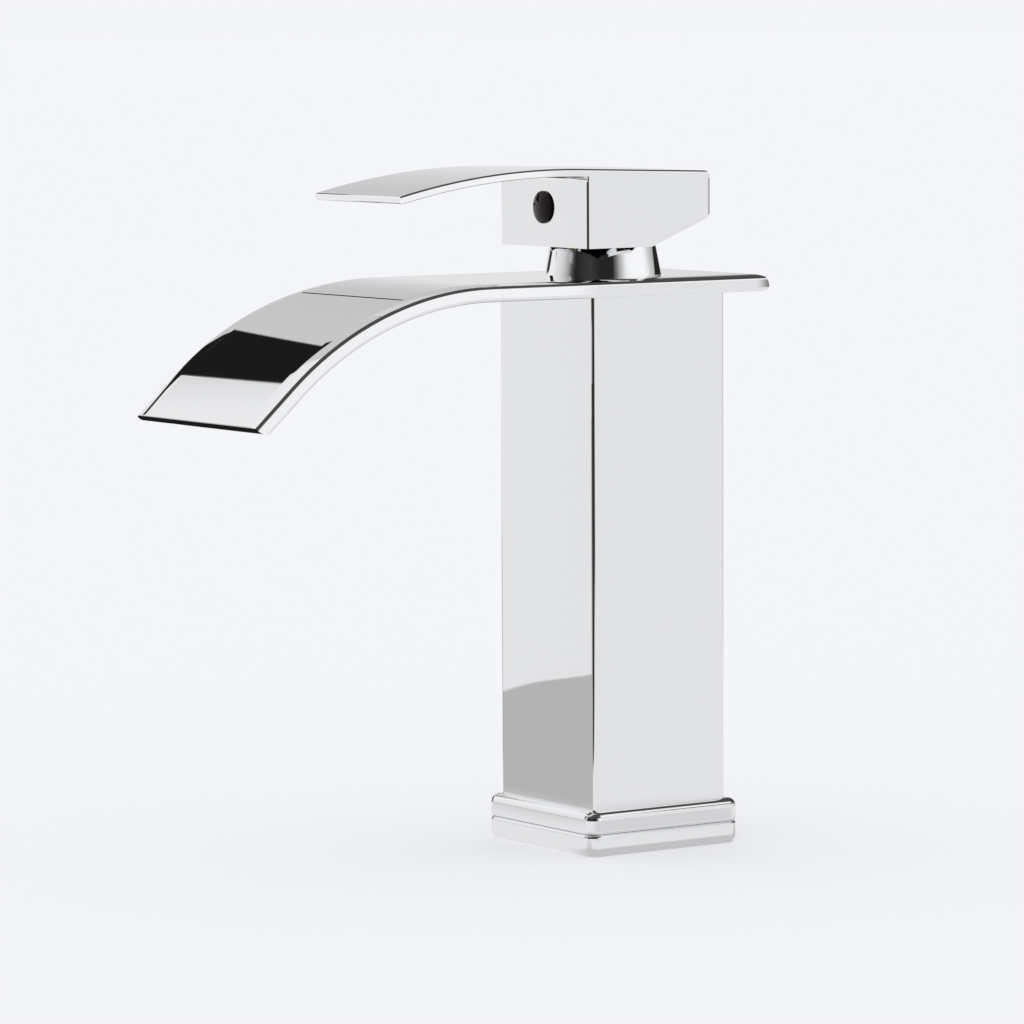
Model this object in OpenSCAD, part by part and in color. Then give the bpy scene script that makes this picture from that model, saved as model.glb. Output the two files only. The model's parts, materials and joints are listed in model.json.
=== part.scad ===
// Square-column waterfall basin mixer with a single lever.
// +Z is up and the spout points along -Y. The origin is the middle of the base flange's underside.
// Millimetres throughout.

/* [Column] */
// Outside width of the square column
column_w = 45; // [42:0.5:52]
// Height of the column between the base flange and the spout
column_h = 142.3; // [110:0.1:220]
// Wall of the hollow column
column_wall = 3; // [2.6:0.1:3.6]
// Radius on the upright edges of the column
column_edge_r = 0.8; // [0.4:0.1:1.5]

/* [Base flange] */
// How far the flange stands out past the column
base_lap = 3.2; // [2:0.1:5]
// Height of the flange
base_h = 12.5; // [10:0.1:18]
// Height of the lower of its two rolls
base_roll_h = 6.1; // [5:0.1:7]
// Radius of its corners seen from above
base_corner_r = 3.4; // [2.4:0.1:5]
// Radius on the outer edge at the top and at the bottom
base_edge_r = 2.4; // [1:0.1:2.8]
// Radius on each side of the groove between the rolls
base_groove_r = 0.9; // [0.3:0.1:1.2]
// Thickness of the ledge that the column stands on
base_ledge_t = 3; // [2.5:0.1:5]
// Opening in the ledge for the hoses and the stud
base_opening_d = 35; // [32:0.5:36]

/* [Spout] */
// How far the spout stands out past the column on each side
spout_lap = 8.25; // [6:0.05:12]
// How far the spout stands out behind the column
spout_rear_lap = 9.5; // [5:0.1:14]
// Thickness of the spout
spout_t = 4.7; // [4.5:0.1:6]
// Length of its flat stretch in front of the column
spout_flat_l = 38.5; // [25:0.5:60]
// Radius of its bend, on top
spout_bend_r = 95.5; // [70:0.5:140]
// Angle of its bend
spout_bend_a = 42; // [30:1:50]
// Length of its straight lip after the bend
spout_lip_l = 15.5; // [8:0.5:25]
// Width of the soft shoulder along each side
spout_shoulder_w = 6.1; // [4:0.1:7]
// Drop of the shoulder from its inner edge to the side
spout_shoulder_drop = 0.6; // [0.3:0.05:1.2]
// Radius on its side edges
spout_edge_r = 1.1; // [0.4:0.1:1.3]
// Radius on its rear edge, on top
spout_rear_r = 3.2; // [1:0.1:3.3]
// Radius under the front edge of its lip
spout_drip_r = 3.8; // [1:0.1:4]

/* [Water slot] */
// Angle along the bend from its start to the slot
slot_a = 15.6; // [8:0.1:24]
// Width of the slot across which the water wells up
slot_w = 0.7; // [0.6:0.1:2]
// Thickness of the cover over the channel
cover_t = 1.3; // [1.1:0.1:1.5]
// Height of the channel under the cover
channel_h = 1.4; // [1.1:0.1:1.5]
// Width of the ledges that carry the cover's sides
cover_ledge_w = 3; // [2:0.1:4]
// Width of the two ribs in the channel
rib_w = 1.5; // [1:0.1:2.5]

/* [Cartridge] */
// Nominal diameter of the ceramic cartridge
cartridge_d = 25; // [24:0.5:27]
// Offset of the cartridge towards the front
cartridge_y = -3; // [-3.5:0.1:0]
// Height of the cartridge's shoulder above the spout
cartridge_rise = 4.1; // [3.8:0.1:5.5]
// Height of the cartridge from its foot to its shoulder
cartridge_h = 27.6; // [27:0.1:32]
// Thickness of each ceramic disc
disc_t = 3; // [2.6:0.1:3.2]
// Depth of the lever pin below the shoulder
pin_drop = 3.6; // [3.4:0.1:4]
// Diameter of the lever pin
pin_d = 3; // [2.4:0.1:3.2]
// Distance from the lever pin to the ball that drives the disc
drive_arm = 8; // [7.6:0.1:8.4]
// Diameter of the driving ball
ball_d = 4.8; // [4:0.1:5]
// Travel of the lever
lift_a = 25; // [20:1:27]

/* [Bonnet] */
// Height of the conical bonnet nut
bonnet_h = 7.9; // [7.6:0.1:8.6]
// Wall of the bonnet nut round the neck, at its foot
bonnet_wall = 2.3; // [2:0.1:3.5]
// How much narrower its radius is at the top than at the foot
bonnet_taper = 1.5; // [0.5:0.1:1.8]
// Wall of the threaded neck under it
neck_wall = 1.4; // [1.2:0.1:2]

/* [Lever] */
// Width of the lever block
lever_w = 42; // [38:0.5:48]
// Length of the block in front of the cartridge's axis
lever_front_l = 19.9; // [18:0.1:26]
// Length of the block behind the cartridge's axis
lever_rear_l = 21.9; // [20:0.1:26]
// Height of the lever at its crest above the block's underside
lever_h = 22.1; // [20:0.1:28]
// Gap between the bonnet and the block
lever_gap = 0.3; // [0.3:0.1:1]
// Wall of the hollow block
lever_wall = 2.6; // [2:0.1:3.5]
// Thickness of the blade
blade_t = 2.2; // [1.8:0.1:3]
// Length of the blade in front of the block
blade_l = 61.8; // [40:0.1:80]
// Radius of the blade's bend, on top
blade_bend_r = 220; // [160:5:400]
// Fall of the block's top towards the rear
lever_fall_a = 1.8; // [0:0.1:4]
// Slope of the block's underside at the rear
lever_chamfer_a = 21.5; // [15:0.5:30]
// Radius between the blade's underside and the block's front
blade_fillet_r = 1.4; // [0.8:0.1:3]
// Radius on the upright edges of the block
lever_edge_r = 0.6; // [0.3:0.1:1.2]
// Width across the flats of the square spindle
spindle_w = 7; // [6:0.1:7]
// Diameter of the index plug
plug_d = 9.1; // [8:0.1:10]
// How far the plug's rim stands out
plug_rim_h = 0.5; // [0:0.1:1]
// Height of the dome on its rim
plug_dome_h = 0.9; // [0.5:0.1:2]

/* [Connections] */
// Distance between the two hose ports
port_spacing = 14; // [13:0.5:16]
// Tapping diameter of the hose ports, for M10 x 1
port_d = 9; // [8.9:0.05:9.1]
// Tapping diameter of the stud hole, for M8
stud_d = 6.8; // [6.6:0.05:6.9]
// Thickness of the foot bar that they are tapped in
foot_t = 12; // [10:0.5:16]

/* [Hidden] */
$fn = 96;

// Clearances: seat is between pieces that stay put, run is between pieces that turn or slide.
seat = 0.05;
run = 0.1;
// Overlap that keeps a cut or a join from ending on a shared face.
eps = 0.5;
// Offset that makes a rounding cross the face beside it at a real angle.
edge_slack = 0.004;

// Heights of the main faces.
base_w = column_w + 2 * base_lap;
spout_z = base_h + column_h;
spout_top_z = spout_z + spout_t;
bonnet_top_z = spout_top_z + bonnet_h;
lever_z = bonnet_top_z + lever_gap;
lever_crest_z = lever_z + lever_h;

// Cartridge stack, from its shoulder down.
cartridge_r = cartridge_d / 2;
shoulder_z = spout_top_z + cartridge_rise;
seat_z = shoulder_z - cartridge_h;
pin_z = shoulder_z - pin_drop;
ball_z = pin_z - drive_arm;
roof_t = 2;
housing_wall = 1.4;
housing_r = cartridge_r - housing_wall;
rotor_r = housing_r - 0.7;
rotor_neck_r = rotor_r - 1.35;
base_plate_t = 6.5;
fixed_disc_z = seat_z + base_plate_t;
moving_disc_z = fixed_disc_z + disc_t;
carrier_z = moving_disc_z + disc_t;
carrier_disc_t = 1.5;
rotor_z = pin_z - 4;
slip_t = 0.8;
// Groove round the housing for its O-ring.
housing_groove_w = 1.7;
housing_groove_drop = 7.6;
housing_groove_z = shoulder_z - housing_groove_drop;
housing_groove_depth = 1.3;
// Cheeks of the rotor that guide the disc carrier between them.
cheek_x = rotor_r - 3.1;
cheek_w = 12;
cheek_z = carrier_z + carrier_disc_t + run;
disc_travel = drive_arm * sin(lift_a);
moving_r = housing_r - disc_travel / 2 - 0.4;
neck_r = cartridge_r + 2 * seat + neck_wall;
bonnet_foot_r = neck_r + seat + bonnet_wall;

// Water ways, as places relative to the cartridge's axis.
inlet_x = 4.2;
inlet_y = -3.2;
inlet_r = 2.2;
chamber_y = 2;
chamber_r = 4;
outlet_y = 5;
outlet_r = 2.8;
outlet_floor_t = 1.8;
seal_w = 1.4;
seal_h = 1.2;
key_r = 1.3;
duct_r = 3.2;
duct_wall = 2;
gallery_r = cartridge_r + 1.6;
gallery_z = seat_z + 1.6;
gallery_h = 4.4;
head_floor_t = 5;
port_y = cartridge_y + inlet_y;
port_stud_gap = 13.2;
stud_y = port_y + port_stud_gap;

// Gasket between the column and the spout.
gasket_t = 1;
gasket_rim = 1;

// Riser through which the mixed water reaches the spout's channel, and the web between it and the neck.
riser_w = 22;
riser_foot_w = 12;
riser_y = -column_w / 2 + 2;
riser_web = 0.8;
riser_l = cartridge_y - neck_r - riser_web - riser_y;

// Spout section and bend.
spout_w = column_w + 2 * spout_lap;
spout_rear_y = column_w / 2 + spout_rear_lap;
bend_y = -column_w / 2 - spout_flat_l;
bend_z = spout_top_z - spout_bend_r;
flat_half_w = spout_w / 2 - spout_shoulder_w;
shoulder_r = (pow(spout_shoulder_w, 2) + pow(spout_shoulder_drop, 2)) / (2 * spout_shoulder_drop);
cover_half_w = flat_half_w + 0.4;
channel_half_w = cover_half_w - cover_ledge_w;
spout_brow_r = 0.4;
// Radius on the rear edge's underside, which leaves a narrow flat between it and the one on top.
spout_rear_foot_r = spout_t - spout_rear_r - 0.2;
cover_rear_gap = 7;
cover_rear_y = spout_rear_y - cover_rear_gap;
channel_rear_y = riser_y + riser_l + seat;
slot_sweep_a = slot_w / spout_bend_r * 180 / PI;

// Fasteners.
m3_r = 1.5;
m3_head_r = 2.8;
m3_head_h = 1.5;
m3_hex = 2;
m3_hex_depth = 1;
// Room round a countersunk head, and how far it lies below its face.
head_room = 0.1;
spout_screw_l = 11;
spout_screw_xy = column_w / 2 - 5;
base_screw_l = 9;
base_screw_xy = column_w / 2 - 4.4;
set_screw_r = 2.5;
set_screw_l = 6;

// Lever.
lever_front_y = cartridge_y - lever_front_l;
lever_rear_y = cartridge_y + lever_rear_l;
blade_start_y = lever_front_y - 2;
blade_centre_y = blade_start_y - blade_bend_r * sin(lever_fall_a);
blade_centre_z = lever_crest_z - blade_bend_r;
blade_tip_l = 2;
blade_rear_l = (lever_rear_y - blade_start_y) / cos(lever_fall_a);
blade_end_a = asin((blade_centre_y - lever_front_y + blade_l - blade_tip_l) / blade_bend_r);
top_z_start = blade_centre_z + blade_bend_r * cos(lever_fall_a);
chamfer_y = cartridge_y + 1.8;
boss_half = spindle_w / 2 + 3;
boss_z = lever_z + 4;
plug_rise = 10.9;
plug_z = lever_z + plug_rise;
cavity_z = plug_z + 7;
spindle_top_z = cavity_z - 1;
plug_depth = 4;
plug_floor_gap = 0.2;

// ---------- shared shapes ----------

// Square with rounded corners, centred
module rounded_square(w, r) {
    square([w, w - 2 * r], center = true);
    square([w - 2 * r, w], center = true);
    for (x = [-1, 1], y = [-1, 1])
        translate([x * (w / 2 - r), y * (w / 2 - r)])
            circle(r);
}

// Round hole or rod on the cartridge's axis
module on_axis(z, h, r) {
    translate([0, cartridge_y, z])
        cylinder(r = r, h = h);
}

// Ring on the cartridge's axis
module axis_ring(z, h, r_out, r_in) {
    difference() {
        on_axis(z, h, r_out);
        on_axis(z - eps, h + 2 * eps, r_in);
    }
}

// O-ring of section radius s on the cartridge's axis
module o_ring(z, r, s) {
    translate([0, cartridge_y, z])
        rotate_extrude()
            translate([r, 0])
                circle(s, $fn = 48);
}

// Countersunk screw with its head's face at z = 0, pointing down
module countersunk_screw(l, grow = 0) {
    translate([0, 0, -l])
        cylinder(r = m3_r + grow - seat, h = l);
    translate([0, 0, -m3_head_h - grow])
        cylinder(r1 = m3_r + grow - seat, r2 = m3_head_r + grow, h = m3_head_h);
    if (grow > 0)
        translate([0, 0, -grow])
            cylinder(r = m3_head_r + grow, h = eps + grow);
}

// Hexagon socket in a screw head
module hex_socket(across, depth) {
    translate([0, 0, -depth])
        cylinder(r = across / sqrt(3), h = depth + eps, $fn = 6);
}

module at_corners(xy) {
    for (x = [-xy, xy], y = [-xy, xy])
        translate([x, y, 0])
            children();
}

// Sweeps a section whose x is height and whose y is width along +Y
module sweep_straight(l) {
    rotate([-90, -90, 0])
        linear_extrude(l)
            children();
}

// Sweeps the same kind of section, its x now a radius, from upright towards -Y through the angle a
module sweep_bend(a) {
    rotate([0, -90, 180])
        rotate_extrude(angle = a, $fn = 360)
            children();
}

// ---------- base flange ----------

// One roll: rounded on its outer edges, w from the middle to the outer face
module roll_section(w, h, top_r, bottom_r) {
    square([w - top_r, h]);
    square([w - bottom_r, h - top_r]);
    translate([0, bottom_r])
        square([w, h - top_r - bottom_r]);
    translate([w - top_r, h - top_r])
        circle(top_r);
    translate([w - bottom_r, bottom_r])
        circle(bottom_r);
}

module flange_section(w) {
    roll_section(w, base_roll_h, base_groove_r, base_edge_r);
    translate([0, base_roll_h])
        roll_section(w, base_h - base_roll_h, base_edge_r, base_groove_r);
}

module flange_blank() {
    side = base_w - 2 * base_corner_r;
    for (a = [0:90:270])
        rotate([0, 0, a]) {
            rotate([90, 0, 0])
                linear_extrude(side, center = true)
                    flange_section(base_w / 2);
            translate([side / 2, side / 2, 0])
                rotate_extrude()
                    intersection() {
                        flange_section(base_corner_r);
                        square([base_corner_r, base_h]);
                    }
        }
}

gasket_in_r = base_opening_d / 2 + 1.6;
gasket_out_r = gasket_in_r + 2.2;
base_gasket_t = 1.6;

module base_flange() {
    color("gainsboro")
        difference() {
            flange_blank();
            translate([0, 0, base_ledge_t])
                linear_extrude(base_h)
                    rounded_square(column_w + 2 * seat, column_edge_r);
            translate([0, 0, -eps])
                cylinder(d = base_opening_d, h = base_ledge_t + 2 * eps);
            difference() {
                translate([0, 0, -eps])
                    cylinder(r = gasket_out_r, h = base_gasket_t + eps);
                translate([0, 0, -2 * eps])
                    cylinder(r = gasket_in_r, h = base_gasket_t + 4 * eps);
            }
            at_corners(base_screw_xy)
                mirror([0, 0, 1])
                    countersunk_screw(base_ledge_t + eps, head_room);
        }
}

module base_gasket() {
    color("dimgray")
        difference() {
            cylinder(r = gasket_out_r, h = base_gasket_t);
            translate([0, 0, -eps])
                cylinder(r = gasket_in_r, h = base_gasket_t + 2 * eps);
        }
}

module base_screws() {
    color("silver")
        at_corners(base_screw_xy)
            translate([0, 0, head_room])
                mirror([0, 0, 1])
                    difference() {
                        countersunk_screw(base_screw_l);
                        hex_socket(m3_hex, m3_hex_depth);
                    }
}

// ---------- column ----------

head_z = seat_z - head_floor_t;
foot_z = base_ledge_t + foot_t;

module column_shell() {
    difference() {
        translate([0, 0, base_ledge_t])
            linear_extrude(spout_z - base_ledge_t)
                rounded_square(column_w, column_edge_r);
        translate([0, 0, base_ledge_t - eps])
            linear_extrude(head_z - base_ledge_t + eps)
                square(column_w - 2 * column_wall, center = true);
    }
}

// Foot bar that the hoses and the stud screw into, and the lugs for the flange's screws
module column_foot() {
    bar_front = port_y - port_d / 2 - 3;
    bar_rear = stud_y + stud_d / 2 + 3;
    translate([-column_w / 2 + column_wall / 2, bar_front, base_ledge_t])
        cube([column_w - column_wall, bar_rear - bar_front, foot_t]);
    at_corners(base_screw_xy)
        translate([0, 0, base_ledge_t])
            cylinder(r = 3.2, h = base_screw_l);
}

module ducts(r, z0, z1) {
    for (x = [-1, 1])
        translate([x * (inlet_x + port_spacing / 2 + 1) / 2, port_y, z0])
            cylinder(r = r, h = z1 - z0);
}

module neck() {
    z = spout_z - gasket_t - eps;
    axis_ring(z, shoulder_z - 0.4 - z, neck_r, cartridge_r + 2 * seat);
}

module body_column() {
    color("whitesmoke")
        difference() {
            union() {
                column_shell();
                intersection() {
                    column_foot();
                    translate([0, 0, base_ledge_t])
                        linear_extrude(foot_t)
                            rounded_square(column_w, column_edge_r);
                }
                ducts(duct_r + duct_wall, base_ledge_t + foot_t / 2, head_z + eps);
                neck();
            }
            // Cartridge well and the gallery round its foot
            on_axis(seat_z, cartridge_h + eps, cartridge_r + 2 * seat);
            on_axis(gallery_z, gallery_h, gallery_r);
            // Inlets from the hose ports to the seat
            ducts(duct_r, foot_z - 1, seat_z - 2.5);
            for (x = [-1, 1]) {
                translate([x * inlet_x, port_y, seat_z - 3])
                    cylinder(r = inlet_r, h = 3 + eps);
                translate([x * port_spacing / 2, port_y, base_ledge_t - eps])
                    cylinder(d = port_d, h = foot_t - 0.5 + eps);
            }
            translate([0, stud_y, base_ledge_t - eps])
                cylinder(d = stud_d, h = foot_t + 2 * eps);
            // Riser from the gallery up to the spout
            translate([-riser_w / 2, riser_y, gallery_z])
                cube([riser_w, riser_l, spout_z - gallery_z + eps]);
            translate([-riser_foot_w / 2, riser_y, gallery_z])
                cube([riser_foot_w, cartridge_y - cartridge_r - riser_y + eps, gallery_h]);
            // Recess for the gasket, open round the neck
            difference() {
                translate([0, 0, spout_z - gasket_t])
                    linear_extrude(gasket_t + eps)
                        square(column_w - 2 * gasket_rim, center = true);
                on_axis(spout_z - 2 * gasket_t, 3 * gasket_t, neck_r);
            }
            // Screw holes and the locating holes of the cartridge
            at_corners(spout_screw_xy)
                translate([0, 0, spout_z - spout_screw_l])
                    cylinder(r = m3_r, h = spout_screw_l + eps);
            at_corners(base_screw_xy)
                translate([0, 0, base_ledge_t - eps])
                    cylinder(r = m3_r, h = base_screw_l - 1 + eps);
            cartridge_pins(0.1);
        }
}

// Two pegs under the cartridge that set its angle
module cartridge_pins(grow = 0) {
    for (x = [-1, 1])
        translate([x * 8.4, cartridge_y + 4.6, seat_z - 2 - grow])
            cylinder(r = 1.2 + grow, h = 2 + eps + grow);
}

module spout_gasket() {
    color("dimgray")
        difference() {
            translate([0, 0, spout_z - gasket_t])
                linear_extrude(gasket_t)
                    square(column_w - 2 * gasket_rim - 2 * seat, center = true);
            on_axis(spout_z - 2 * gasket_t, 3 * gasket_t, neck_r + seat);
            translate([-riser_w / 2, riser_y, spout_z - 2 * gasket_t])
                cube([riser_w, riser_l, 3 * gasket_t]);
            at_corners(spout_screw_xy)
                translate([0, 0, spout_z - 2 * gasket_t])
                    cylinder(r = m3_r, h = 3 * gasket_t);
        }
}

// ---------- spout ----------

// Section: x is height above the underside, y is width
module spout_section() {
    r = spout_edge_r;
    side_y = spout_w / 2 - r;
    side_x = spout_t - shoulder_r + sqrt(pow(shoulder_r - r, 2) - pow(side_y - flat_half_w, 2));
    touch_a = asin((side_y - flat_half_w) / (shoulder_r - r));
    difference() {
        translate([0, -spout_w / 2])
            square([spout_t, spout_w]);
        for (side = [0, 1])
            mirror([0, side]) {
                translate([spout_t - shoulder_r, flat_half_w])
                    difference() {
                        square(spout_w);
                        circle(shoulder_r, $fn = 180);
                    }
                translate([side_x, side_y + edge_slack])
                    difference() {
                        polygon([[0, 0], 3 * r * [cos(touch_a), sin(touch_a)], [3 * r, 3 * r], [0, 3 * r]]);
                        circle(r);
                    }
                translate([r, side_y])
                    difference() {
                        translate([-2 * r, 0])
                            square(2 * r);
                        circle(r);
                    }
            }
    }
}

// What rounding with radius r takes off a corner at the origin whose sides run along -x and -y
module corner_cut(r) {
    translate([-r, -r])
        difference() {
            square(r + eps);
            circle(r);
        }
}

// Straight slab of its children's section along +Y from the origin, with its far end's edges rounded
module rounded_stretch(l, t, w, top_r, bottom_r) {
    difference() {
        sweep_straight(l)
            children();
        rotate([90, 0, 90])
            linear_extrude(w + 2 * eps, center = true) {
                translate([l, t])
                    corner_cut(top_r);
                translate([l, 0])
                    mirror([0, 1])
                        corner_cut(bottom_r);
            }
    }
}

// Slab that starts upright over the origin, bends down towards -Y through the angle a about it
// and runs on straight for l
module bent_slab(a, bend_r, l, t, w, top_r, bottom_r) {
    margin_a = 2;
    difference() {
        rotate([a, 0, 0])
            mirror([0, 1, 0]) {
                sweep_bend(a + margin_a)
                    translate([bend_r - t, 0])
                        children();
                translate([0, 0, bend_r - t])
                    rounded_stretch(l, t, w, top_r, bottom_r)
                        children();
            }
        translate([-w, 0, 0])
            cube([2 * w, bend_r, 2 * bend_r]);
    }
}

module at_bend() {
    translate([0, bend_y, bend_z])
        children();
}

module spout_blank() {
    translate([0, bend_y, spout_z])
        rounded_stretch(spout_rear_y - bend_y, spout_t, spout_w, spout_rear_r, spout_rear_foot_r)
            spout_section();
    at_bend()
        bent_slab(spout_bend_a, spout_bend_r, spout_lip_l, spout_t, spout_w, spout_brow_r, spout_drip_r)
            spout_section();
}

// Space of depth d below the top face, from y_rear forwards and along the bend through the angle a
module top_recess(half_w, d, y_rear, a, lift = eps) {
    translate([-half_w, bend_y, spout_top_z - d])
        cube([2 * half_w, y_rear - bend_y, d + lift]);
    at_bend()
        sweep_bend(a)
            translate([spout_bend_r - d, -half_w])
                square([d + lift, 2 * half_w]);
}

module channel_ribs() {
    for (x = [-1, 1])
        intersection() {
            top_recess(channel_half_w, cover_t + channel_h + 0.2, channel_rear_y - 6, slot_a - 2, -cover_t);
            translate([x * channel_half_w / 3 - rib_w / 2, bend_y - spout_bend_r, 0])
                cube([rib_w, spout_bend_r + channel_rear_y - bend_y, spout_top_z]);
        }
}

module spout() {
    color("whitesmoke") {
        difference() {
            spout_blank();
            top_recess(cover_half_w, cover_t, cover_rear_y, slot_a);
            top_recess(channel_half_w, cover_t + channel_h, channel_rear_y, slot_a);
            on_axis(spout_z - eps, spout_t + 2 * eps, neck_r + seat);
            translate([-riser_w / 2, riser_y, spout_z - eps])
                cube([riser_w, riser_l, spout_t]);
            at_corners(spout_screw_xy)
                translate([0, 0, spout_top_z - cover_t])
                    countersunk_screw(spout_t + 1, head_room);
        }
        channel_ribs();
    }
}

module spout_cover() {
    color("gainsboro")
        difference() {
            top_recess(cover_half_w - seat, cover_t, cover_rear_y - seat, slot_a - slot_sweep_a, 0);
            on_axis(spout_z, 2 * spout_t, neck_r + seat);
        }
}

module spout_screws() {
    color("silver")
        at_corners(spout_screw_xy)
            translate([0, 0, spout_top_z - cover_t - head_room])
                difference() {
                    countersunk_screw(spout_screw_l);
                    hex_socket(m3_hex, m3_hex_depth);
                }
}

// ---------- bonnet ----------

bonnet_ring_r = neck_r + 1.2;
bonnet_ring_s = 0.55;
bonnet_hole_r = cartridge_r - 2.3;

module bonnet_nut() {
    top_r = bonnet_foot_r - bonnet_taper;
    color("white")
        difference() {
            translate([0, cartridge_y, spout_top_z])
                cylinder(r1 = bonnet_foot_r, r2 = top_r, h = bonnet_h);
            on_axis(spout_top_z - eps, cartridge_rise + eps, neck_r + seat);
            on_axis(spout_top_z, 2 * bonnet_h, bonnet_hole_r);
            // Lead-in at the mouth and groove for the O-ring
            translate([0, cartridge_y, bonnet_top_z - 1])
                cylinder(r1 = bonnet_hole_r, r2 = bonnet_hole_r + 1.2, h = 1 + 0.01);
            axis_ring(
                spout_top_z - eps,
                2 * bonnet_ring_s + eps,
                bonnet_ring_r + bonnet_ring_s,
                bonnet_ring_r - bonnet_ring_s
            );
        }
}

module bonnet_o_ring() {
    color("dimgray")
        o_ring(spout_top_z + bonnet_ring_s, bonnet_ring_r, bonnet_ring_s - 0.02);
}

// ---------- cartridge ----------

module at_inlets(z) {
    for (x = [-1, 1])
        translate([x * inlet_x, port_y, z])
            children();
}

module cartridge_base() {
    color("ivory")
        difference() {
            union() {
                on_axis(seat_z, base_plate_t, cartridge_r);
                cartridge_pins();
            }
            at_inlets(seat_z - eps)
                cylinder(r = inlet_r, h = base_plate_t + 2 * eps);
            at_inlets(seat_z - eps)
                cylinder(r = inlet_r + seal_w, h = seal_h + eps);
            // Outlet well, and the mouth at its back that leads to the gallery
            translate([0, cartridge_y + outlet_y, seat_z + outlet_floor_t])
                cylinder(r = outlet_r, h = base_plate_t);
            translate([-outlet_r, cartridge_y + outlet_y, seat_z + outlet_floor_t])
                cube([2 * outlet_r, cartridge_r, 3.4]);
            disc_seal_shape(0);
        }
}

module inlet_seals() {
    color("dimgray")
        at_inlets(seat_z)
            difference() {
                cylinder(r = inlet_r + seal_w - seat, h = seal_h);
                translate([0, 0, -eps])
                    cylinder(r = inlet_r + 0.1, h = seal_h + 2 * eps);
            }
}

// Two rings round the inlets in the top of the base
module disc_seal_shape(shrink) {
    at_inlets(fixed_disc_z - 1)
        difference() {
            cylinder(r = inlet_r + seal_w - shrink, h = 1);
            translate([0, 0, -eps])
                cylinder(r = inlet_r + 0.5 + shrink, h = 1 + 2 * eps);
        }
}

module disc_seal() {
    color("dimgray")
        disc_seal_shape(seat);
}

module fixed_disc() {
    color("white")
        difference() {
            on_axis(fixed_disc_z, disc_t, housing_r - 2 * seat);
            at_inlets(fixed_disc_z - eps)
                cylinder(r = inlet_r, h = disc_t + 2 * eps);
            translate([0, cartridge_y + outlet_y, fixed_disc_z - eps])
                cylinder(r = outlet_r, h = disc_t + 2 * eps);
            // Notches that key it in the housing
            for (x = [-1, 1])
                translate([x * housing_r, cartridge_y, fixed_disc_z - eps])
                    cylinder(r = key_r, h = disc_t + 2 * eps);
        }
}

module cartridge_housing() {
    color("ivory") {
        difference() {
            on_axis(fixed_disc_z, shoulder_z - fixed_disc_z, cartridge_r);
            on_axis(fixed_disc_z - eps, rotor_z - 0.5 - fixed_disc_z + eps, housing_r);
            on_axis(fixed_disc_z, shoulder_z - roof_t - fixed_disc_z, rotor_r + run);
            on_axis(fixed_disc_z, cartridge_h, rotor_neck_r + run);
            axis_ring(
                housing_groove_z,
                housing_groove_w,
                cartridge_r + eps,
                cartridge_r - housing_groove_depth
            );
        }
        // Keys for the fixed disc
        for (x = [-1, 1])
            intersection() {
                translate([x * housing_r, cartridge_y, fixed_disc_z])
                    cylinder(r = key_r - seat, h = disc_t - 0.3);
                on_axis(fixed_disc_z, disc_t, cartridge_r - 0.2);
            }
    }
}

module housing_o_ring() {
    color("dimgray")
        o_ring(
            housing_groove_z + housing_groove_w / 2,
            cartridge_r - housing_groove_depth / 2,
            housing_groove_depth / 2 - 0.01
        );
}

// Slot through the rotor that lets the spindle tilt back above the pin and forwards below it
module rotor_slot() {
    half = spindle_w / 2 + run;
    up = shoulder_z + 4 - pin_z;
    down = pin_z - rotor_z + 1;
    reach_up = half / cos(lift_a) + up * tan(lift_a) + 0.3;
    translate([0, cartridge_y, pin_z])
        rotate([90, 0, 90])
            linear_extrude(spindle_w + 2 * run, center = true)
                polygon([
                    [-half, up], [reach_up, up], [half + 0.4, 0],
                    [half + 0.2, -down], [-half - down * tan(lift_a), -down], [-half - 0.4, 0]
                ]);
}

module rotor() {
    color("lightsteelblue")
        difference() {
            union() {
                on_axis(rotor_z, shoulder_z - roof_t - slip_t - run - rotor_z, rotor_r);
                on_axis(rotor_z, shoulder_z + 2.8 - rotor_z, rotor_neck_r);
                // Cheeks that guide the disc carrier
                intersection() {
                    on_axis(cheek_z, rotor_z - cheek_z + run, rotor_r - 0.6);
                    for (side = [0, 1])
                        mirror([side, 0, 0])
                            translate([cheek_x, cartridge_y - cheek_w / 2, carrier_z])
                                cube([rotor_r, cheek_w, rotor_z - carrier_z]);
                }
            }
            rotor_slot();
            translate([0, cartridge_y, pin_z])
                rotate([0, 90, 0])
                    cylinder(d = pin_d, h = 4 * rotor_r, center = true);
        }
}

module slip_ring() {
    color("gold")
        axis_ring(shoulder_z - roof_t - slip_t - run, slip_t, rotor_r - 0.1, rotor_neck_r + 0.1);
}

module pivot_pin() {
    color("silver")
        translate([0, cartridge_y, pin_z])
            rotate([0, 90, 0])
                cylinder(d = pin_d, h = 2 * rotor_neck_r - 0.6, center = true);
}

module at_moving_disc(z) {
    translate([0, cartridge_y + disc_travel / 2, z])
        children();
}

module moving_disc() {
    color("white")
        difference() {
            at_moving_disc(moving_disc_z)
                cylinder(r = moving_r, h = disc_t);
            // Mixing chamber on its underside
            at_moving_disc(moving_disc_z - eps)
                translate([0, chamber_y, 0])
                    cylinder(r = chamber_r, h = 1.2 + eps);
        }
}

module disc_carrier() {
    top = rotor_z - 0.7;
    socket_r = ball_d / 2 + run;
    color("lightsteelblue")
        difference() {
            union() {
                at_moving_disc(carrier_z)
                    cylinder(r = moving_r, h = carrier_disc_t);
                intersection() {
                    at_moving_disc(carrier_z)
                        cylinder(r = moving_r, h = top - carrier_z);
                    translate([-cheek_x + run, cartridge_y - cartridge_r, carrier_z])
                        cube([2 * (cheek_x - run), 2 * cartridge_r, top - carrier_z]);
                }
            }
            // Socket for the spindle's ball, flared so that the spindle can lean
            on_axis(carrier_z + 0.6, top - carrier_z, socket_r);
            translate([0, cartridge_y, ball_z + 0.6])
                cylinder(r1 = socket_r, r2 = socket_r + 4, h = 5);
        }
}

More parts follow.
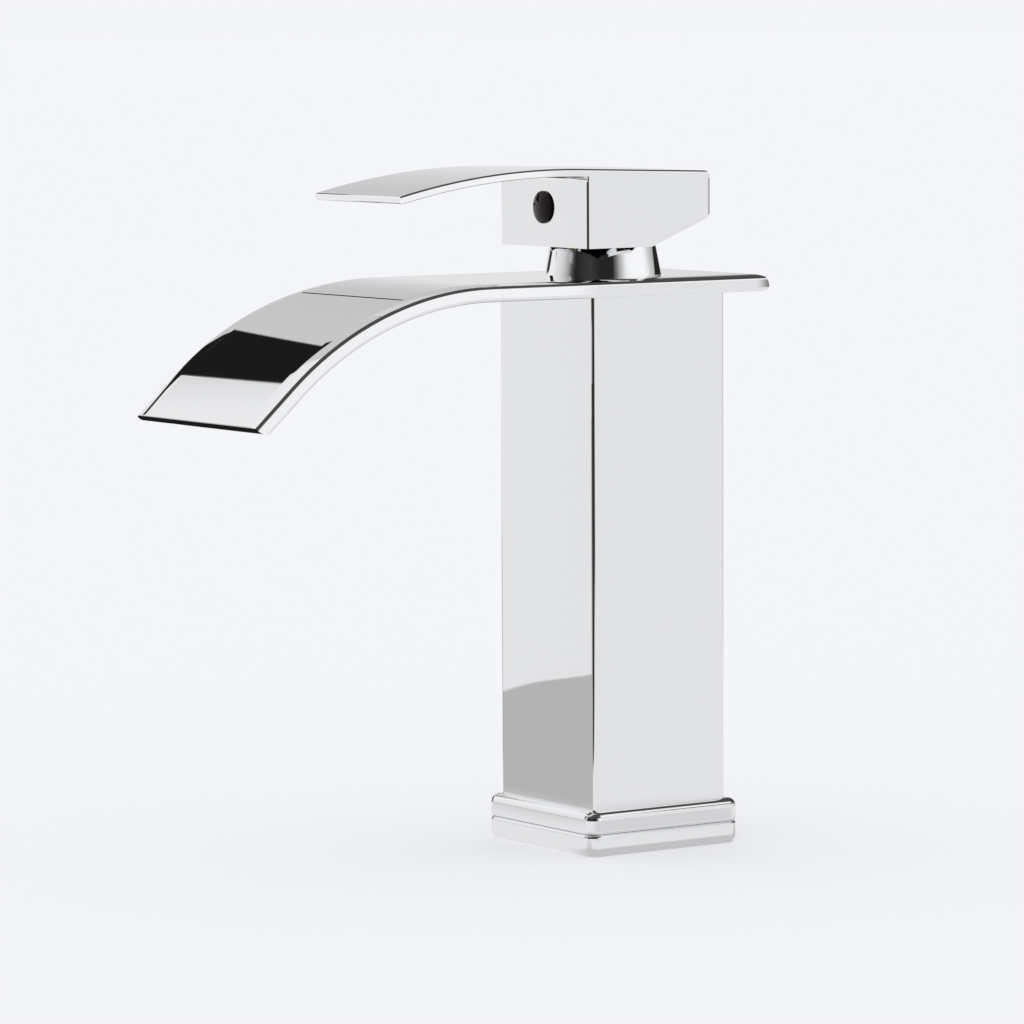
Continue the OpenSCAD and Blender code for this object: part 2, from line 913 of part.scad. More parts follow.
// ---------- lever ----------

module spindle() {
    color("silver")
        difference() {
            union() {
                translate([-spindle_w / 2, cartridge_y - spindle_w / 2, pin_z])
                    cube([spindle_w, spindle_w, spindle_top_z - pin_z]);
                translate([0, cartridge_y, pin_z])
                    rotate([0, 90, 0])
                        cylinder(d = spindle_w, h = spindle_w, center = true);
                on_axis(ball_z, drive_arm, ball_d / 2 - 0.5);
                translate([0, cartridge_y, ball_z])
                    sphere(d = ball_d);
            }
            translate([0, cartridge_y, pin_z])
                rotate([0, 90, 0])
                    cylinder(d = pin_d + 2 * seat, h = 2 * spindle_w, center = true);
            // Dimple for the point of the set screw
            translate([0, cartridge_y - spindle_w / 2 - eps, plug_z])
                rotate([-90, 0, 0])
                    cylinder(r = set_screw_r + 0.1, h = eps + 0.4);
        }
}

// Section of the blade: x is height above its underside, y is width
module blade_section() {
    top_r = 0.6;
    foot_r = 0.3;
    half = lever_w / 2;
    for (side = [0, 1])
        mirror([0, side]) {
            square([blade_t, half - top_r]);
            translate([foot_r, 0])
                square([blade_t - foot_r - top_r, half]);
            square([blade_t - top_r, half - foot_r]);
            translate([blade_t - top_r, half - top_r])
                circle(top_r, $fn = 48);
            translate([foot_r, half - foot_r])
                circle(foot_r, $fn = 48);
        }
}

// Blade, bending down to its round tip, and the block's top, falling to the rear
module blade() {
    tip_r = blade_t / 2 - 0.1;
    translate([0, blade_centre_y, blade_centre_z]) {
        bent_slab(blade_end_a, blade_bend_r, blade_tip_l, blade_t, lever_w, tip_r, tip_r)
            blade_section();
        mirror([0, 1, 0])
            bent_slab(lever_fall_a, blade_bend_r, blade_rear_l, blade_t, lever_w, 1.8, 0.1)
                blade_section();
    }
}

// Side outline of the block, y as x and z as y, up to the middle of the blade's thickness
module block_outline() {
    function roof(y) = top_z_start - (y - blade_start_y) * tan(lever_fall_a) - blade_t / 2;
    rear_foot_z = lever_z + (lever_rear_y - chamfer_y) * tan(lever_chamfer_a);
    polygon([
        [lever_front_y, lever_z], [chamfer_y, lever_z], [lever_rear_y - 1.2, rear_foot_z - 0.5],
        [lever_rear_y, rear_foot_z + 1], [lever_rear_y, roof(lever_rear_y)],
        [lever_front_y, roof(lever_front_y)]
    ]);
    // Fillet between the blade's underside and the front face
    translate([lever_front_y - blade_fillet_r, roof(lever_front_y) - blade_t / 2 - blade_fillet_r])
        difference() {
            square(blade_fillet_r + 0.1);
            circle(blade_fillet_r);
        }
}

module block() {
    intersection() {
        rotate([90, 0, 90])
            linear_extrude(lever_w, center = true)
                block_outline();
        translate([0, 0, lever_z - eps])
            linear_extrude(2 * lever_h)
                block_plan();
    }
}

// Plan outline of the block with its upright edges rounded
module block_plan() {
    r = lever_edge_r;
    l = lever_front_l + lever_rear_l;
    translate([-lever_w / 2, lever_front_y - blade_fillet_r])
        square([lever_w, blade_fillet_r]);
    translate([-lever_w / 2 + r, lever_front_y])
        square([lever_w - 2 * r, l]);
    translate([-lever_w / 2, lever_front_y + r])
        square([lever_w, l - 2 * r]);
    for (x = [-1, 1], y = [lever_front_y + r, lever_rear_y - r])
        translate([x * (lever_w / 2 - r), y])
            circle(r, $fn = 48);
}

module handle() {
    bridge_z = plug_z - plug_d / 2 - 1;
    color("whitesmoke")
        difference() {
            union() {
                blade();
                difference() {
                    block();
                    // Hollow of the block, open below
                    translate([-lever_w / 2 + lever_wall, lever_front_y + lever_wall, lever_z - eps])
                        cube([
                            lever_w - 2 * lever_wall,
                            lever_front_l + lever_rear_l - 2 * lever_wall,
                            cavity_z - lever_z + eps
                        ]);
                }
                // Boss for the spindle, and the bridge that carries the set screw
                translate([-boss_half, cartridge_y - boss_half, boss_z])
                    cube([2 * boss_half, 2 * boss_half, cavity_z - boss_z + eps]);
                translate([-boss_half, lever_front_y + 1, bridge_z])
                    cube([2 * boss_half, lever_front_l - boss_half, cavity_z - bridge_z + eps]);
            }
            translate([-spindle_w / 2 - seat, cartridge_y - spindle_w / 2 - seat, boss_z - eps])
                cube([spindle_w + 2 * seat, spindle_w + 2 * seat, spindle_top_z + 0.2 - boss_z + eps]);
            translate([0, lever_front_y - eps, plug_z])
                rotate([-90, 0, 0]) {
                    cylinder(d = plug_d, h = plug_depth + eps);
                    cylinder(r = set_screw_r, h = lever_front_l);
                }
        }
}

module set_screw() {
    color("dimgray")
        translate([0, cartridge_y - spindle_w / 2 + 0.3, plug_z])
            rotate([90, 0, 0])
                difference() {
                    cylinder(r = set_screw_r - seat, h = set_screw_l);
                    translate([0, 0, set_screw_l])
                        hex_socket(2.5, 2.5);
                }
}

module index_plug() {
    r = plug_d / 2 - seat;
    dome_r = (r * r + plug_dome_h * plug_dome_h) / (2 * plug_dome_h);
    color("black")
        translate([0, lever_front_y, plug_z])
            rotate([90, 0, 0]) {
                translate([0, 0, -plug_depth + plug_floor_gap])
                    cylinder(r = r, h = plug_depth - plug_floor_gap + plug_rim_h);
                intersection() {
                    translate([0, 0, plug_rim_h + plug_dome_h - dome_r])
                        sphere(dome_r);
                    cylinder(r = r, h = plug_rim_h + plug_dome_h + eps);
                }
            }
}

base_flange();
base_gasket();
base_screws();
body_column();
spout_gasket();
spout();
spout_cover();
spout_screws();
bonnet_nut();
bonnet_o_ring();
cartridge_base();
inlet_seals();
disc_seal();
fixed_disc();
cartridge_housing();
housing_o_ring();
rotor();
slip_ring();
pivot_pin();
moving_disc();
disc_carrier();
spindle();
handle();
set_screw();
index_plug();
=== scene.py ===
import json
import math

import bmesh
import bpy
from mathutils import Matrix, Vector


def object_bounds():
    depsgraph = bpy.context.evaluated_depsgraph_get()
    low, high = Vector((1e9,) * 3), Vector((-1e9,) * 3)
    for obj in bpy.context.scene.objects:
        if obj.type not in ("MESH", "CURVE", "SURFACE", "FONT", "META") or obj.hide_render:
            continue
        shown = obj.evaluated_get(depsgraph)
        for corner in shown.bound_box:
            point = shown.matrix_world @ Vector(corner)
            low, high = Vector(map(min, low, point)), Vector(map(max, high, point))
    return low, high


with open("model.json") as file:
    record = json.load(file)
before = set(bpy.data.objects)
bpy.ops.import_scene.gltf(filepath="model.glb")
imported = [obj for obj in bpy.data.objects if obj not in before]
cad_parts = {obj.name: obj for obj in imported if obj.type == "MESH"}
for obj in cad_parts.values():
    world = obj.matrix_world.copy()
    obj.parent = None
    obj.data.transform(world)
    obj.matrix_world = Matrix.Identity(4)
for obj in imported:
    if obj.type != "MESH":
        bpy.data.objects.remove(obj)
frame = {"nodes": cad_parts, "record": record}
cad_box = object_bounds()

# Lengths are in metres. In the studio, a pair of numbers with a name is a soft edge: where it starts and
# where it ends. Compass angles are in degrees from +X towards +Y, and heights in the surroundings are in
# degrees above the horizon.


# ---------- camera, at the photograph's viewing angle ----------

CAMERA_PLACE = Vector((1.25736, -0.89998, 0.23559))
CAMERA_AZIMUTH = math.radians(55.445)
CAMERA_HEIGHT_ANGLE = math.radians(5.280)
CAMERA_ROLL = math.radians(-0.275)
CAMERA_LENS = 194.6
CAMERA_SENSOR = 36
CAMERA_SEES_TO = 100


def make_camera():
    az, el = CAMERA_AZIMUTH, CAMERA_HEIGHT_ANGLE
    back = Vector((math.sin(az) * math.cos(el), -math.cos(az) * math.cos(el), math.sin(el)))
    level = Vector((math.cos(az), math.sin(az), 0))
    above = back.cross(level)
    right = level * math.cos(CAMERA_ROLL) + above * math.sin(CAMERA_ROLL)
    up = above * math.cos(CAMERA_ROLL) - level * math.sin(CAMERA_ROLL)
    data = bpy.data.cameras.new("camera")
    data.lens = CAMERA_LENS
    data.sensor_width = CAMERA_SENSOR
    data.clip_end = CAMERA_SEES_TO
    camera = bpy.data.objects.new("camera", data)
    turn = Matrix((right, up, back)).transposed().to_4x4()
    camera.matrix_world = Matrix.Translation(CAMERA_PLACE) @ turn
    bpy.context.scene.collection.objects.link(camera)
    bpy.context.scene.camera = camera


make_camera()


# ---------- helpers ----------

class Nodes:
    """Short ways to add and link shader nodes in one tree."""

    def __init__(self, tree):
        self.tree = tree
        tree.nodes.clear()

    def add(self, kind, **settings):
        node = self.tree.nodes.new("ShaderNode" + kind)
        for key, value in settings.items():
            setattr(node, key, value)
        return node

    def put(self, socket, value):
        """Link a socket to another one, or set it to a constant."""
        if isinstance(value, bpy.types.NodeSocket):
            self.tree.links.new(value, socket)
        else:
            socket.default_value = value

    def math(self, operation, *values):
        node = self.add("Math", operation=operation)
        for socket, value in zip(node.inputs, values):
            self.put(socket, value)
        return node.outputs[0]

    def plus(self, a, b):
        return self.math("ADD", a, b)

    def minus(self, a, b):
        return self.math("SUBTRACT", a, b)

    def product(self, *values):
        result = values[0]
        for value in values[1:]:
            result = self.math("MULTIPLY", result, value)
        return result

    def in_degrees(self, angle):
        return self.product(angle, math.degrees(1))

    def greatest(self, *values):
        result = values[0]
        for value in values[1:]:
            result = self.math("MAXIMUM", result, value)
        return result

    def rise(self, value, edge):
        """0 before the edge, 1 after it, and a smooth step across it."""
        node = self.add("MapRange", interpolation_type="SMOOTHSTEP")
        self.put(node.inputs["Value"], value)
        node.inputs["From Min"].default_value = edge[0]
        node.inputs["From Max"].default_value = edge[1]
        return node.outputs["Result"]

    def fall(self, value, edge):
        """1 before the edge, 0 after it, and a smooth step across it."""
        return self.minus(1.0, self.rise(value, edge))

    def band(self, value, first, last):
        """1 between two edges and 0 outside them."""
        return self.product(self.rise(value, first), self.fall(value, last))

    def blend(self, factor, a, b):
        """Number that goes from a to b as factor goes from 0 to 1."""
        node = self.add("Mix", data_type="FLOAT")
        self.put(node.inputs["Factor"], factor)
        self.put(node.inputs["A"], a)
        self.put(node.inputs["B"], b)
        return node.outputs[0]

    def mix_shader(self, factor, a, b):
        node = self.add("MixShader")
        self.put(node.inputs[0], factor)
        self.put(node.inputs[1], a.outputs[0])
        self.put(node.inputs[2], b.outputs[0])
        return node

    def show(self, shader):
        """Let the material show this shader."""
        out = self.add("OutputMaterial")
        self.put(out.inputs["Surface"], shader.outputs[0])

    def light(self, color, strength=1.0):
        node = self.add("Emission")
        self.put(node.inputs["Color"], color)
        node.inputs["Strength"].default_value = strength
        return node

    def seen_by_gloss(self):
        return self.add("LightPath").outputs["Is Glossy Ray"]

    def split(self, vector):
        node = self.add("SeparateXYZ")
        self.put(node.inputs[0], vector)
        return node.outputs

    def place(self):
        """The object's own X, Y and Z at the point."""
        return self.split(self.add("TexCoord").outputs["Object"])

    def noise(self, scale, detail, vector=None):
        node = self.add("TexNoise")
        node.inputs["Scale"].default_value = scale
        node.inputs["Detail"].default_value = detail
        if vector is None:
            vector = self.add("TexCoord").outputs["Object"]
        self.put(node.inputs["Vector"], vector)
        return node.outputs["Fac"]


def empty_material(name):
    material = bpy.data.materials.new(name)
    material.use_nodes = True
    return material, Nodes(material.node_tree)


def grey(value):
    return (value, value, value, 1)


def add_to_studio(name, made, material):
    """Object of the studio from a bmesh. It isn't part of the tap."""
    mesh = bpy.data.meshes.new(name)
    made.to_mesh(mesh)
    made.free()
    mesh.materials.append(material)
    thing = bpy.data.objects.new(name, mesh)
    bpy.context.scene.collection.objects.link(thing)
    return thing


# ---------- materials of the tap ----------

def new_material(name, color, roughness, metallic=0.0):
    material, n = empty_material(name)
    shader = n.add("BsdfPrincipled")
    n.show(shader)
    shader.inputs["Base Color"].default_value = (*color, 1)
    shader.inputs["Roughness"].default_value = roughness
    shader.inputs["Metallic"].default_value = metallic
    material.diffuse_color = (*color, 1)
    return material, n, shader


def add_bump(n, shader, height, distance):
    bump = n.add("Bump")
    bump.inputs["Strength"].default_value = 1.0
    bump.inputs["Distance"].default_value = distance
    n.put(bump.inputs["Height"], height)
    n.put(shader.inputs["Normal"], bump.outputs["Normal"])


def vary_roughness(n, shader, pattern, low, high):
    spread = n.add("MapRange")
    n.put(spread.inputs["Value"], pattern)
    spread.inputs["To Min"].default_value = low
    spread.inputs["To Max"].default_value = high
    n.put(shader.inputs["Roughness"], spread.outputs["Result"])


def chrome_material():
    """Polished chrome plate: the metal under it waves very slightly, and wiping leaves a faint haze."""
    material, n, shader = new_material("chrome", (0.885, 0.892, 0.905), roughness=0.02, metallic=1.0)
    vary_roughness(n, shader, n.noise(scale=38, detail=5), low=0.012, high=0.034)
    add_bump(n, shader, n.noise(scale=16, detail=1), distance=0.00003)
    return material


def rubber_material():
    """Black moulded rubber with a matt, slightly grainy skin."""
    material, n, shader = new_material("rubber", (0.028, 0.028, 0.03), roughness=0.7)
    add_bump(n, shader, n.noise(scale=2200, detail=4), distance=0.00004)
    vary_roughness(n, shader, n.noise(scale=300, detail=3), low=0.6, high=0.8)
    return material


RINGS_PER_METRE = (60, 60, 4000)


def turned_metal(name, color, roughness):
    """Machined metal with the fine rings that a lathe leaves."""
    material, n, shader = new_material(name, color, roughness, metallic=1.0)
    stretch = n.add("Mapping")
    n.put(stretch.inputs["Vector"], n.add("TexCoord").outputs["Object"])
    stretch.inputs["Scale"].default_value = RINGS_PER_METRE
    rings = n.noise(scale=1, detail=2, vector=stretch.outputs["Vector"])
    add_bump(n, shader, rings, distance=0.00001)
    vary_roughness(n, shader, rings, low=roughness * 0.8, high=roughness * 1.3)
    return material


PLASTIC_TRANSLUCENCE = 0.05
PLASTIC_DEPTH = 0.002


def plastic_material(name, color, roughness):
    """Moulded plastic that lets a little light in."""
    material, n, shader = new_material(name, color, roughness)
    add_bump(n, shader, n.noise(scale=1500, detail=3), distance=0.000015)
    vary_roughness(n, shader, n.noise(scale=500, detail=3), low=roughness * 0.85, high=roughness * 1.15)
    shader.inputs["Subsurface Weight"].default_value = PLASTIC_TRANSLUCENCE
    shader.inputs["Subsurface Radius"].default_value = (PLASTIC_DEPTH, PLASTIC_DEPTH, PLASTIC_DEPTH)
    return material


def ceramic_material():
    """Lapped alumina, very smooth, with a trace of grain."""
    material, n, shader = new_material("ceramic", (0.86, 0.85, 0.8), roughness=0.12)
    vary_roughness(n, shader, n.noise(scale=3500, detail=2), low=0.1, high=0.16)
    return material


def plug_material():
    """Dark glossy plastic that shows a trace of red in its depth."""
    material, n, shader = new_material("index_plug", (0.014, 0.007, 0.009), roughness=0.05)
    shader.inputs["Specular IOR Level"].default_value = 0.2
    shader.inputs["Specular Tint"].default_value = (1.0, 0.86, 0.88, 1.0)
    vary_roughness(n, shader, n.noise(scale=400, detail=2), low=0.04, high=0.07)
    add_bump(n, shader, n.noise(scale=120, detail=1), distance=0.000004)
    return material


MATERIALS = {
    "chrome": chrome_material(),
    "rubber": rubber_material(),
    "steel": turned_metal("steel", (0.62, 0.62, 0.63), roughness=0.22),
    "brass": turned_metal("brass", (0.80, 0.62, 0.34), roughness=0.2),
    "white_plastic": plastic_material("white_plastic", (0.82, 0.81, 0.77), roughness=0.35),
    "grey_plastic": plastic_material("grey_plastic", (0.35, 0.38, 0.42), roughness=0.4),
    "ceramic": ceramic_material(),
    "dark_gloss": plug_material(),
}


def dress_cad_nodes():
    for part in frame["record"]["subparts"]:
        node = frame["nodes"][part["node"]]
        node.data.materials.clear()
        node.data.materials.append(MATERIALS[part["material_slot"]])


dress_cad_nodes()


# ---------- studio: the surroundings ----------

FULL_TURN = 360
BACKDROP = (0.905, 0.913, 0.947)
SOFT_LIGHT = 0.6225
DARK_ROOM = 0.07

# Brightness of the surroundings near the horizon, by compass angle
HORIZON = [
    (-180, 0.90), (-160, 0.95), (-150, 0.91), (-145, 0.855), (-130, 0.74), (-120, 0.60), (-110, 0.38),
    (-101, 0.08), (-93, 0.02), (-80, 0.03), (-60, 0.045), (-40, 0.02), (-14, 0.02), (-6, 0.18),
    (0, 0.42), (6, 0.61), (13, 0.87), (20, 1.0), (41, 1.0), (49, 0.95), (57, 0.88), (66, 0.81),
    (76, 0.71), (88, 0.55), (102, 0.38), (112, 0.26), (122, 0.14), (138, 0.10), (141, 0.55),
    (144, 0.80), (152, 0.80), (178, 0.88),
]

# Below the horizon the light on the right begins further round by this angle
LATE_BY = 14
LATE_BELOW = (-2, 0)
LATE_FROM = (-45, -35)
LATE_TO = (40, 50)

# Behind the tap the light falls off with height, up to a slanting edge where it is full again
WALL_FROM = (100, 140)
WALL_TO = (165.0, 168.5)
WALL_SLANT = 0.62
WALL_SLANT_HEIGHT = 21.0
WALL_FADE = (0, 18)
WALL_FADE_BY = 0.26

# On the camera's side and on the right the dark room begins above a sill, which drops behind the tap
SILL = 24.0
SILL_DROP = 15.0
SILL_DROPS = (45, 115)
SILL_SOFT = (0, 6)
SIDE_FROM = (-115, -105)
SIDE_TO = (142.5, 145)

# Further round it begins above a brow that climbs, and the ceiling is dark everywhere
BROW = 28.0
BROW_CLIMB = 18.0
BROW_CLIMBS = (143, 168)
BROW_SOFT = (0, 5)
BROW_FROM = (138, 143)
CEILING = (46, 51)


def horizon_brightness(n, compass):
    """HORIZON as a colour ramp round the whole turn."""
    ramp = n.add("ValToRGB")
    n.put(ramp.inputs["Fac"], n.plus(n.math("DIVIDE", compass, FULL_TURN), 0.5))
    stops = ramp.color_ramp.elements
    while len(stops) < len(HORIZON):
        stops.new(0.5)
    for stop, (angle, value) in zip(stops, HORIZON):
        stop.position = angle / FULL_TURN + 0.5
        stop.color = grey(value)
    return ramp.outputs["Color"]


def studio_brightness(n):
    """Grey value of the surroundings that gloss sees, as a function of direction."""
    x, y, z = n.split(n.add("TexCoord").outputs["Generated"])
    compass = n.in_degrees(n.math("ARCTAN2", y, x))
    height = n.in_degrees(n.math("ARCSINE", z))
    late = n.product(n.fall(height, LATE_BELOW), n.band(compass, LATE_FROM, LATE_TO))
    low = horizon_brightness(n, n.minus(compass, n.product(late, LATE_BY)))
    slanting = n.minus(compass, n.product(n.minus(height, WALL_SLANT_HEIGHT), WALL_SLANT))
    wall = n.product(n.rise(compass, WALL_FROM), n.fall(slanting, WALL_TO))
    faded = n.minus(1.0, n.product(n.rise(height, WALL_FADE), WALL_FADE_BY))
    light = n.product(low, n.blend(wall, 1.0, faded))
    sill = n.minus(SILL, n.product(n.rise(compass, SILL_DROPS), SILL_DROP))
    side = n.product(n.rise(n.minus(height, sill), SILL_SOFT), n.band(compass, SIDE_FROM, SIDE_TO))
    brow = n.plus(BROW, n.product(n.rise(compass, BROW_CLIMBS), BROW_CLIMB))
    behind = n.product(n.rise(n.minus(height, brow), BROW_SOFT), n.rise(compass, BROW_FROM))
    dark = n.greatest(side, behind, n.rise(height, CEILING))
    return n.blend(dark, light, DARK_ROOM)


def make_world():
    """The camera sees the backdrop, gloss sees the studio, and all else is lit evenly."""
    world = bpy.data.worlds.new("studio")
    bpy.context.scene.world = world
    world.use_nodes = True
    n = Nodes(world.node_tree)
    studio = n.add("Background")
    n.put(studio.inputs["Color"], studio_brightness(n))
    soft = n.add("Background")
    soft.inputs["Color"].default_value = grey(SOFT_LIGHT)
    backdrop = n.add("Background")
    backdrop.inputs["Color"].default_value = (*BACKDROP, 1)
    lit = n.mix_shader(n.seen_by_gloss(), soft, studio)
    shown = n.mix_shader(n.add("LightPath").outputs["Is Camera Ray"], lit, backdrop)
    out = n.add("OutputWorld")
    n.put(out.inputs["Surface"], shown.outputs[0])


# ---------- studio: the floor, and the table top that gloss sees there ----------

FLOOR_HALF_SIZE = 30.0
FLOOR_BELOW_FOOT = 0.0002
FLOOR_COLOR = (0.80, 0.81, 0.84)
FLOOR_GLOW = 0.45

TABLE_WHITE = 0.85
TABLE_NEAR = 0.72
TABLE_FOOT = 0.60
TABLE_GREY = 0.50

# On the left the table ends at the nearer of two lines. The first slants all along. The second slants
# only in front of SECOND_TURNS_Y, and runs straight back from there.
FIRST_SLANT = 0.185
FIRST_EDGE = (-0.2695, -0.2655)
SECOND_SLANT = 0.61
SECOND_TURNS_Y = -0.19
SECOND_EDGE = (-0.1697, -0.1657)
TABLE_RIGHT = (0.5, 0.9)
TABLE_FRONT = (-0.36, -0.34)
TABLE_BACK = (0.4, 0.8)

# A piece of it is missing at the front, so the column's near edge and the middle of the bonnet nut stay dark
MISSING_FROM_X = (-0.090, -0.060)
MISSING_TO_Y = (-0.22, -0.18)

# The table is grey on the front left, and dimmer in two bands on the right, which only the flange sees
GREY_TO_Y = (-0.085, -0.050)
GREY_TO_X = (-0.05, 0.0)
BESIDE_FROM_Y = (-0.08, -0.03)
BESIDE_TO_Y = (0.05, 0.09)
FOOT_FROM_X = (0.010, 0.024)
FOOT_TO_X = (0.028, 0.042)
NEAR_FROM_X = (0.050, 0.062)
NEAR_TO_X = (0.084, 0.110)


def table_extent(n, x, y):
    """1 on the table top and 0 beyond its edge."""
    first = n.rise(n.minus(x, n.product(y, FIRST_SLANT)), FIRST_EDGE)
    second_line = n.product(n.math("MINIMUM", y, SECOND_TURNS_Y), SECOND_SLANT)
    second = n.rise(n.minus(x, second_line), SECOND_EDGE)
    whole = n.product(first, second, n.fall(x, TABLE_RIGHT), n.band(y, TABLE_FRONT, TABLE_BACK))
    missing = n.product(n.rise(x, MISSING_FROM_X), n.fall(y, MISSING_TO_Y))
    return n.product(whole, n.minus(1.0, missing))


def table_brightness(n, x, y):
    far = n.product(n.fall(y, GREY_TO_Y), n.fall(x, GREY_TO_X))
    beside = n.band(y, BESIDE_FROM_Y, BESIDE_TO_Y)
    foot = n.product(beside, n.band(x, FOOT_FROM_X, FOOT_TO_X))
    near = n.product(beside, n.band(x, NEAR_FROM_X, NEAR_TO_X))
    bright = n.blend(near, n.blend(foot, TABLE_WHITE, TABLE_FOOT), TABLE_NEAR)
    return n.blend(far, bright, TABLE_GREY)


def floor_material():
    """Pale matt floor. Gloss sees a table top round the tap, and the studio beyond its edge."""
    material, n = empty_material("floor")
    matt = n.add("BsdfDiffuse")
    matt.inputs["Color"].default_value = (*FLOOR_COLOR, 1)
    pale = n.add("AddShader")
    n.put(pale.inputs[0], matt.outputs[0])
    n.put(pale.inputs[1], n.light((*BACKDROP, 1), FLOOR_GLOW).outputs[0])
    x, y, _ = n.place()
    lit = n.light(table_brightness(n, x, y))
    table = n.mix_shader(table_extent(n, x, y), n.add("BsdfTransparent"), lit)
    n.show(n.mix_shader(n.seen_by_gloss(), pale, table))
    return material


def make_floor():
    made = bmesh.new()
    bmesh.ops.create_grid(made, x_segments=8, y_segments=8, size=FLOOR_HALF_SIZE)
    floor = add_to_studio("floor", made, floor_material())
    floor.location.z = cad_box[0][2] - FLOOR_BELOW_FOOT


# ---------- studio: upright cards that only gloss sees ----------

CARD_BLACK = 0.011
CARD_DIM = 0.02

# Black flag beyond the spout's bend. Its left edge, towards -Y, has two steps and leans above the upper
# one, and its top slopes.
FLAG_LEAN = 0.06
FLAG_LEFT_ABOVE = (-0.1392, -0.1370)
FLAG_LEFT = (-0.1185, -0.1155)
FLAG_LEFT_FOOT = (-0.134, -0.130)
FLAG_RIGHT = (-0.0660, -0.0630)
FLAG_BOTTOM = (0.1985, 0.2005)
FLAG_FOOT_TO_Z = (0.212, 0.216)
FLAG_ABOVE_Z = (0.236, 0.240)
FLAG_TOP_SLOPE = 0.16
FLAG_TOP = (0.3215, 0.3265)
FLAG_SHADE = 0.2
FLAG_SHADE_LEFT = (-0.153, -0.138)
FLAG_SHADE_BOTTOM = (0.228, 0.236)

# Narrow dim field below the flag, which the left edge of the bonnet nut sees
NUT_FIELD_LEFT = (-0.055, -0.050)
NUT_FIELD_RIGHT = (-0.016, 0.014)
NUT_FIELD_SLOPE = 0.2
NUT_FIELD_BOTTOM = (0.1680, 0.1700)
NUT_FIELD_TOP = (0.1780, 0.1800)

# Dim slanting field on the low card
LOW_LEFT = (-0.106, -0.098)
LOW_RIGHT = (-0.030, -0.022)
LOW_BOTTOM = (0.066, 0.074)
LOW_TOP = (0.142, 0.150)

# Black field on the tip card
TIP_LEFT = (-0.150, -0.142)
TIP_RIGHT = (-0.100, -0.098)

# Light panel on the right: its outline, its dark strip, and its shades in the lower and the upper part
PANEL_FROM_Y = (0.084, 0.096)
PANEL_TOP_Z = 0.225
PANEL_TOP_CLIMBS_FROM = 0.165
PANEL_TOP_CLIMB = 1.58
PANEL_TOP_SOFT = (-0.006, 0.004)
STRIP_FROM_Y = (0.155, 0.163)
STRIP_BOTTOM = (0.1420, 0.1435)
STRIP_TOP = (0.186, 0.190)
PANEL_LOW = 0.845
PANEL_LOW_FADE = (0.25, 0.60)
PANEL_LOW_FADE_BY = 0.20
PANEL_STEP = (0.188, 0.206)
PANEL_STEP_BY = 0.19
PANEL_HIGH = 0.87
PANEL_HIGH_FADE = (0.22, 0.60)
PANEL_HIGH_FADE_BY = 0.45
PANEL_HIGH_FROM_Z = (0.27, 0.36)


def paint_flag(n):
    """Black flag with a little shade beside its left edge, and the bonnet nut's dim field below it."""
    _, y, z = n.place()
    leaning = n.minus(y, n.product(z, FLAG_LEAN))
    sloping = n.minus(z, n.product(y, FLAG_TOP_SLOPE))
    above = n.product(n.rise(z, FLAG_ABOVE_Z), n.rise(leaning, FLAG_LEFT_ABOVE))
    below = n.product(n.fall(z, FLAG_ABOVE_Z), n.rise(y, FLAG_LEFT))
    foot = n.product(n.fall(z, FLAG_FOOT_TO_Z), n.rise(y, FLAG_LEFT_FOOT))
    limits = n.product(n.fall(y, FLAG_RIGHT), n.fall(sloping, FLAG_TOP))
    flag = n.product(n.greatest(foot, below, above), limits, n.rise(z, FLAG_BOTTOM))
    beside = n.product(n.rise(leaning, FLAG_SHADE_LEFT), n.rise(z, FLAG_SHADE_BOTTOM))
    shade = n.product(beside, limits, FLAG_SHADE)
    descending = n.plus(z, n.product(y, NUT_FIELD_SLOPE))
    nut_field = n.product(
        n.band(y, NUT_FIELD_LEFT, NUT_FIELD_RIGHT),
        n.band(descending, NUT_FIELD_BOTTOM, NUT_FIELD_TOP),
    )
    return n.blend(flag, CARD_DIM, CARD_BLACK), n.greatest(flag, shade, nut_field)


def paint_low_card(n):
    """Dim slanting field, which the left edges of the column and flange and the lip's underside see."""
    _, y, z = n.place()
    climbing = n.minus(z, y)
    return CARD_DIM, n.product(n.band(y, LOW_LEFT, LOW_RIGHT), n.band(climbing, LOW_BOTTOM, LOW_TOP))


def paint_tip_card(n):
    """Black field in front, which the lower edge of the lip and the column's near edge see."""
    _, y, _ = n.place()
    return CARD_BLACK, n.band(y, TIP_LEFT, TIP_RIGHT)


def paint_rear_card(n):
    """Plain dim card, which the right edge of the bonnet nut and the rear edge of the lever see."""
    return CARD_DIM, 1.0


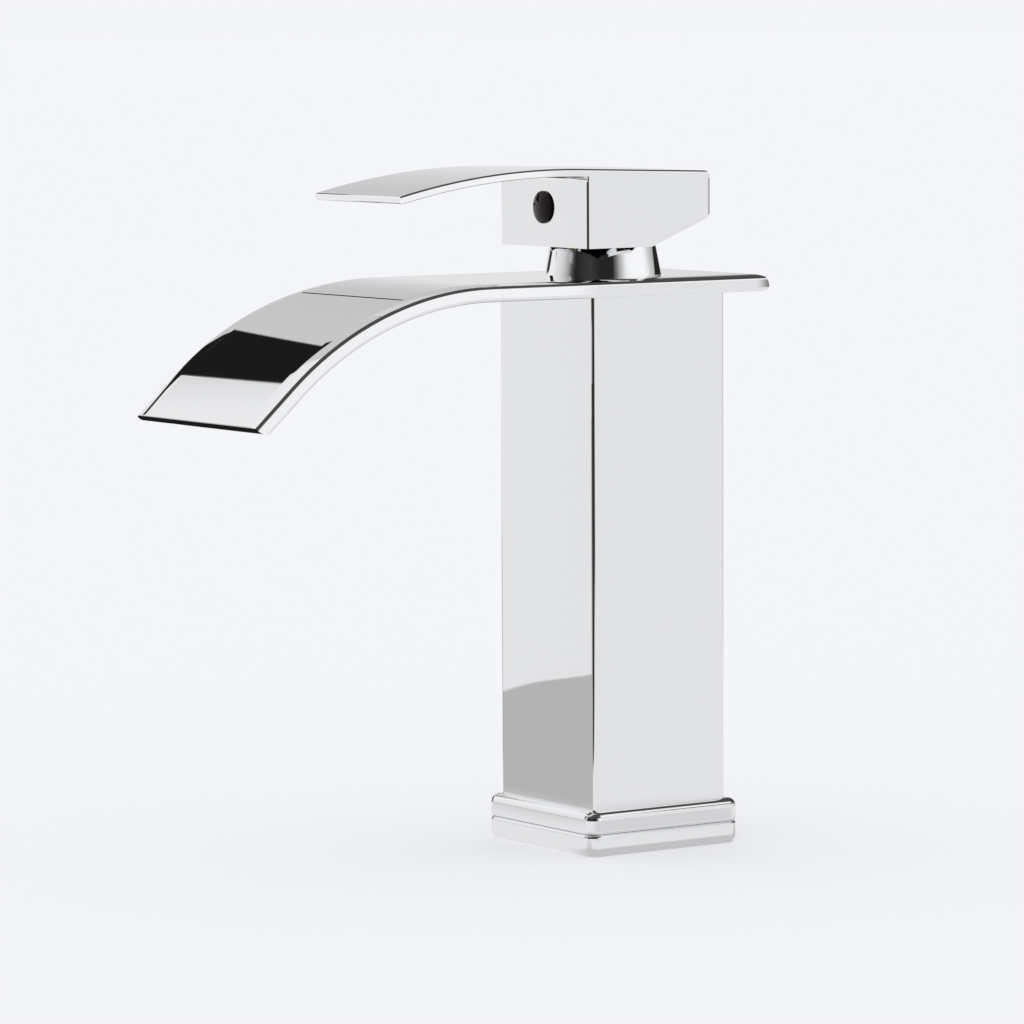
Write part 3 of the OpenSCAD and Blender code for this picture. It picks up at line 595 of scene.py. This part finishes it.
def paint_side_light(n):
    """Light panel, lower in front and dimmer at its far end, with a dark strip for the rear edges."""
    _, y, z = n.place()
    climb = n.product(n.greatest(n.minus(y, PANEL_TOP_CLIMBS_FROM), 0.0), PANEL_TOP_CLIMB)
    over_top = n.minus(z, n.plus(PANEL_TOP_Z, climb))
    there = n.product(n.rise(y, PANEL_FROM_Y), n.fall(over_top, PANEL_TOP_SOFT))
    low = n.minus(PANEL_LOW, n.product(n.rise(y, PANEL_LOW_FADE), PANEL_LOW_FADE_BY))
    low = n.plus(low, n.product(n.rise(z, PANEL_STEP), PANEL_STEP_BY))
    high = n.minus(PANEL_HIGH, n.product(n.rise(y, PANEL_HIGH_FADE), PANEL_HIGH_FADE_BY))
    panel = n.blend(n.rise(z, PANEL_HIGH_FROM_Z), low, high)
    strip = n.product(n.rise(y, STRIP_FROM_Y), n.band(z, STRIP_BOTTOM, STRIP_TOP))
    return n.blend(strip, panel, CARD_DIM), there


# Each card's name, its two ends in plan, its lower and upper height, and its paint
CARDS = [
    ("flag", (-0.200, -0.150), (-0.200, 0.020), 0.160, 0.330, paint_flag),
    ("low_card", (-0.150, -0.110), (-0.150, -0.015), 0.003, 0.150, paint_low_card),
    ("tip_card", (-0.080, -0.170), (-0.080, -0.096), 0.030, 0.110, paint_tip_card),
    ("rear_card", (-0.220, 0.300), (0.240, 0.300), 0.1395, 0.195, paint_rear_card),
    ("side_light", (0.200, 0.080), (0.200, 0.600), 0.0, 0.560, paint_side_light),
]


def card_material(name, paint):
    """Card that only gloss sees. paint gives its brightness, and where it is there at all."""
    material, n = empty_material(name)
    value, there = paint(n)
    lit = n.light(grey(value) if isinstance(value, float) else value)
    n.show(n.mix_shader(n.product(there, n.seen_by_gloss()), n.add("BsdfTransparent"), lit))
    return material


def make_card(name, start, end, bottom, top, paint):
    """Upright card between two ends, start and end, each given by its X and Y."""
    made = bmesh.new()
    bmesh.ops.create_grid(made, x_segments=4, y_segments=4, size=0.5)
    first = Vector((*start, bottom))
    last = Vector((*end, bottom))
    for vertex in made.verts:
        along = vertex.co.x + 0.5
        up = vertex.co.y + 0.5
        vertex.co = first.lerp(last, along) + Vector((0, 0, up * (top - bottom)))
    add_to_studio(name, made, card_material(name, paint))


make_world()
make_floor()
for card_values in CARDS:
    make_card(*card_values)

bpy.context.scene.view_settings.view_transform = "Standard"
